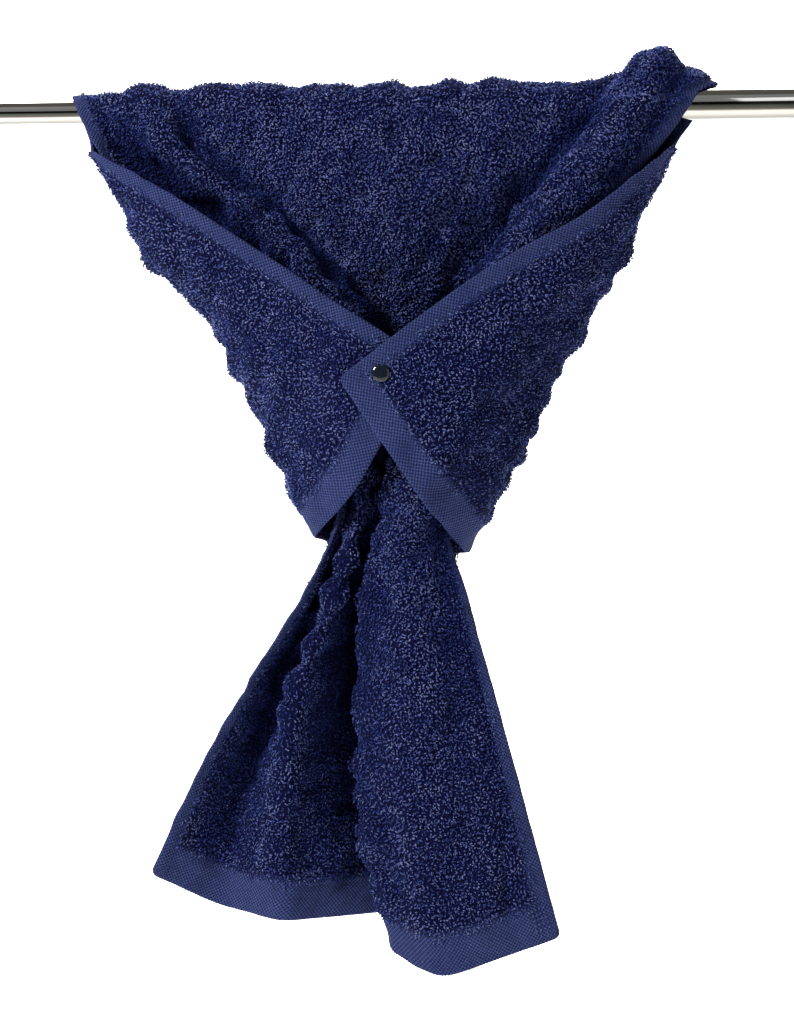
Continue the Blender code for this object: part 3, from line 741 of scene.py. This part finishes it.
# Half sections of the tubes, as (distance along the rail, radius)
X_AXIS, Y_AXIS, Z_AXIS = np.eye(3)
narrow_profile = [(0.0, 0.01), (0.0, 7.4), (0.2, 7.8), (0.6, NARROW_RADIUS), (60.0, NARROW_RADIUS),
                  (120.0, NARROW_RADIUS), (255.0, NARROW_RADIUS), (255.0, 6.8), (1.2, 6.8),
                  (1.2, 0.01), (0.0, 0.01)]
wide_profile = [(660.0, 0.01), (660.0, 10.3), (659.8, 10.7), (659.4, WIDE_RADIUS), (500.0, WIDE_RADIUS),
                (330.0, WIDE_RADIUS), (169.0, WIDE_RADIUS), (167.2, 10.9), (165.9, 10.5), (165.2, 9.8),
                (WIDE_FROM, 9.0), (165.3, 8.5), (166.0, 8.4), (260.0, 8.4), (260.0, 9.8),
                (658.8, 9.8), (658.8, 0.01), (660.0, 0.01)]
for name, profile, radius in (("rail_narrow_tube", narrow_profile, NARROW_RADIUS),
                              ("rail_wide_tube", wide_profile[::-1], WIDE_RADIUS)):
    points, faces = turned(profile, np.zeros(3), X_AXIS, Y_AXIS, Z_AXIS, CHROME_SIDES)
    tube = new_piece(name.replace("tube", "chromed"), points, faces, chrome)
    tube.data.set_sharp_from_angle(angle=math.radians(50))
    # Height round each tube, 0 below and 1 on top, which places the painted reflection bands
    level = tube.data.attributes.new("level", "FLOAT", "POINT")
    level.data.foreach_set("value", (0.5 + points[:, 2] / radius / 2).astype(np.float32))
    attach(tube, "root")
    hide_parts(name)

# ---------------------------------------------------------------------------------------------
# Snap.  Four pieces of moulded plastic hold the corners: a domed cap whose pin is pressed through
# the top corner into a socket, and the same through the corner beneath into a stud.
# ---------------------------------------------------------------------------------------------
# Acetal from a polished mould, dyed dark navy: glossy and smooth, uneven only by a trace, in places
# of about 2.5 mm
acetal, tree, shader = new_material("navy moulded acetal")
where = add_node(tree, "ShaderNodeTexCoord")
mould = add_node(tree, "ShaderNodeTexNoise", {
    "Vector": where.outputs["Object"], "Scale": 400.0, "Detail": 2.0})
gloss = add_node(tree, "ShaderNodeMapRange", {
    "Value": mould.outputs["Fac"], "To Min": 0.05, "To Max": 0.12})
bump = add_node(tree, "ShaderNodeBump", {
    "Strength": 0.08, "Distance": 0.0001, "Height": mould.outputs["Fac"]})
tree.links.new(gloss.outputs[0], shader.inputs["Roughness"])
tree.links.new(bump.outputs["Normal"], shader.inputs["Normal"])
shader.inputs["Base Color"].default_value = linear("060c16")
shader.inputs["IOR"].default_value = 1.48

CAP_OUT = 1.2
cap_profile = [(0.0, 0.01), (0.0, 5.6), (0.15, 6.0), (0.5, 6.2), (0.9, 6.1), (1.3, 5.6), (1.65, 4.8),
               (1.9, 3.8), (2.05, 2.6), (2.12, 1.4), (2.15, 0.4), (2.15, 0.01)]
cap_centre = np.array((CENTRE_X + SNAP_X, TOP_FLAP_Y - CAP_OUT, SNAP_Z))
points, faces = turned(cap_profile, cap_centre, -Y_AXIS, Z_AXIS, X_AXIS, 64)
snap_cap = new_piece("snap_cap_dome", points, faces[:, ::-1], acetal)
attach(snap_cap, "root")
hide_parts("snap_front_cap")
for name in ("snap_socket", "snap_stud", "snap_back_cap"):
    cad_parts[name].data.materials.clear()
    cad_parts[name].data.materials.append(acetal)

# ---------------------------------------------------------------------------------------------
# Studio.  A pale seamless sweep of paper, floor and wall in one, has its own wash of light; the
# towel has a soft light from the upper left in front, a weak one from the right, and a camera level
# with its middle.  Sizes and places here are in metres.
# ---------------------------------------------------------------------------------------------
sweep_path = np.array([(-3.6, -0.78), (1.2, -0.78), (2.1, -0.75), (2.7, -0.62), (3.0, -0.36),
                       (3.1, 0.0), (3.1, 2.8)])
sweep_t = np.linspace(0, len(sweep_path) - 1, 61)
sweep_y = np.interp(sweep_t, np.arange(len(sweep_path)), sweep_path[:, 0])
sweep_z = np.interp(sweep_t, np.arange(len(sweep_path)), sweep_path[:, 1])
sweep_x, ys = np.meshgrid(np.array((-6.7, 7.4)), sweep_y)
zs = np.repeat(sweep_z[:, None], 2, axis=1)
# Matt paper: even, with only a trace of shade in it
paper, tree, shader = new_material("matt white paper")
where = add_node(tree, "ShaderNodeTexCoord")
grain = add_node(tree, "ShaderNodeTexNoise", {"Vector": where.outputs["Object"], "Scale": 3.0})
shade = add_node(tree, "ShaderNodeMix", {
    "Factor": grain.outputs["Fac"], "A": linear("f2f2f0"), "B": linear("f8f8f7")}, data_type="RGBA")
tree.links.new(shade.outputs["Result"], shader.inputs["Base Color"])
shader.inputs["Roughness"].default_value = 0.95
index = np.arange(sweep_x.size).reshape(sweep_x.shape)
faces = np.stack((index[:-1, 0], index[:-1, 1], index[1:, 1], index[1:, 0]), axis=1)
points = np.stack((sweep_x, ys, zs), axis=2).reshape(-1, 3)
backdrop = new_piece("backdrop", points / MM, faces, paper)


def soft_light(name, place, aim, size, watts):
    """A square area light at a place, turned towards a point."""
    data = bpy.data.lights.new(name, "AREA")
    data.size = size
    data.energy = watts
    lamp = bpy.data.objects.new(name, data)
    ahead = np.array(aim, float) - np.array(place, float)
    ahead /= np.linalg.norm(ahead)
    lamp.location = place
    lamp.rotation_euler = (math.acos(-ahead[2]), 0.0, math.atan2(-ahead[0], ahead[1]))
    bpy.context.collection.objects.link(lamp)


soft_light("key", (-1.15, -1.35, 0.95), (0.33, 0.0, -0.25), 0.6, 93.0)
soft_light("fill", (1.9, -1.5, 0.1), (0.33, 0.0, -0.3), 1.4, 5.0)
soft_light("sweep wash", (0.33, 1.3, 2.3), (0.33, 3.1, -0.3), 2.4, 330.0)
world = bpy.data.worlds.new("studio")
world.use_nodes = True
world.node_tree.nodes["Background"].inputs["Color"].default_value = (1.0, 1.0, 1.0, 1.0)
world.node_tree.nodes["Background"].inputs["Strength"].default_value = 0.19
bpy.context.scene.world = world

camera_data = bpy.data.cameras.new("camera")
camera_data.sensor_width = 36.0
camera_data.lens = 63.5
camera = bpy.data.objects.new("camera", camera_data)
camera.location = (0.4084, -1.2477, -0.279)
camera.rotation_euler = (math.radians(90.0), 0.0, math.radians(3.5))
bpy.context.collection.objects.link(camera)
bpy.context.scene.camera = camera
bpy.context.scene.view_settings.view_transform = "Standard"
